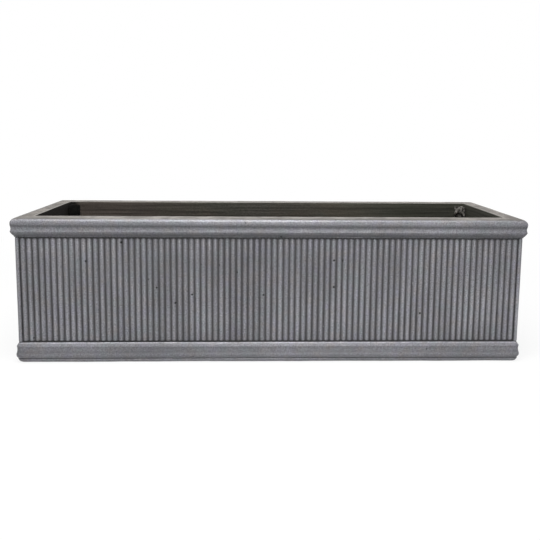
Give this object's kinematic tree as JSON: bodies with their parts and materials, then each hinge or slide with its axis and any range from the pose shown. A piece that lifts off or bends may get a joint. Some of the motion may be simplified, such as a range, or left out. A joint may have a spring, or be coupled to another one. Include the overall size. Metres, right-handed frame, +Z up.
{
  "type": "window box",
  "caption": "Rectangular planting trough with vertically reeded walls, a moulded rim and plinth, and drain holes closed by pull-out rubber plugs.",
  "frame": {"origin": "centre of the footprint, on the underside that the box stands on", "axes": "+X along the length to the right end, -Y is the reeded front, +Z up"},
  "size_m": [0.6, 0.17, 0.172],
  "materials": {
    "faux_lead_facing": "satin grey faux lead with a faint blue and brown clouding, fine pinholes and rubbed arrises",
    "backing_concrete": "matt brown raw cement coat, brushed along the walls",
    "mortar": "matt smoothed mortar, a little paler than the coat it is packed on",
    "glass_mat": "open woven glass-fibre mat soaked in cement",
    "rubber": "matt black moulded rubber"
  },
  "bodies": {
    "box": {"front_facing": "faux_lead_facing", "front_glass_mat": "glass_mat", "front_backing": "backing_concrete", "front_floor_fillet": "mortar", "right_facing": "faux_lead_facing", "right_glass_mat": "glass_mat", "right_backing": "backing_concrete", "right_floor_fillet": "mortar", "back_facing": "faux_lead_facing", "back_glass_mat": "glass_mat", "back_backing": "backing_concrete", "back_floor_fillet": "mortar", "left_facing": "faux_lead_facing", "left_glass_mat": "glass_mat", "left_backing": "backing_concrete", "left_floor_fillet": "mortar", "floor_base_coat": "backing_concrete", "floor_glass_mat": "glass_mat", "floor_top_coat": "backing_concrete", "front_left_corner_fillet": "mortar", "front_right_corner_fillet": "mortar", "back_left_corner_fillet": "mortar", "back_right_corner_fillet": "mortar"},
    "left_drain_plug": {"left_drain_plug": "rubber"},
    "right_drain_plug": {"right_drain_plug": "rubber"}
  },
  "joints": [
    {"name": "left_plug_pull", "type": "slide", "parent": "box", "child": "left_drain_plug", "axis": [0, 0, 1], "range_m": [0, 0.18]},
    {"name": "right_plug_pull", "type": "slide", "parent": "box", "child": "right_drain_plug", "axis": [0, 0, 1], "range_m": [0, 0.18]}
  ]
}
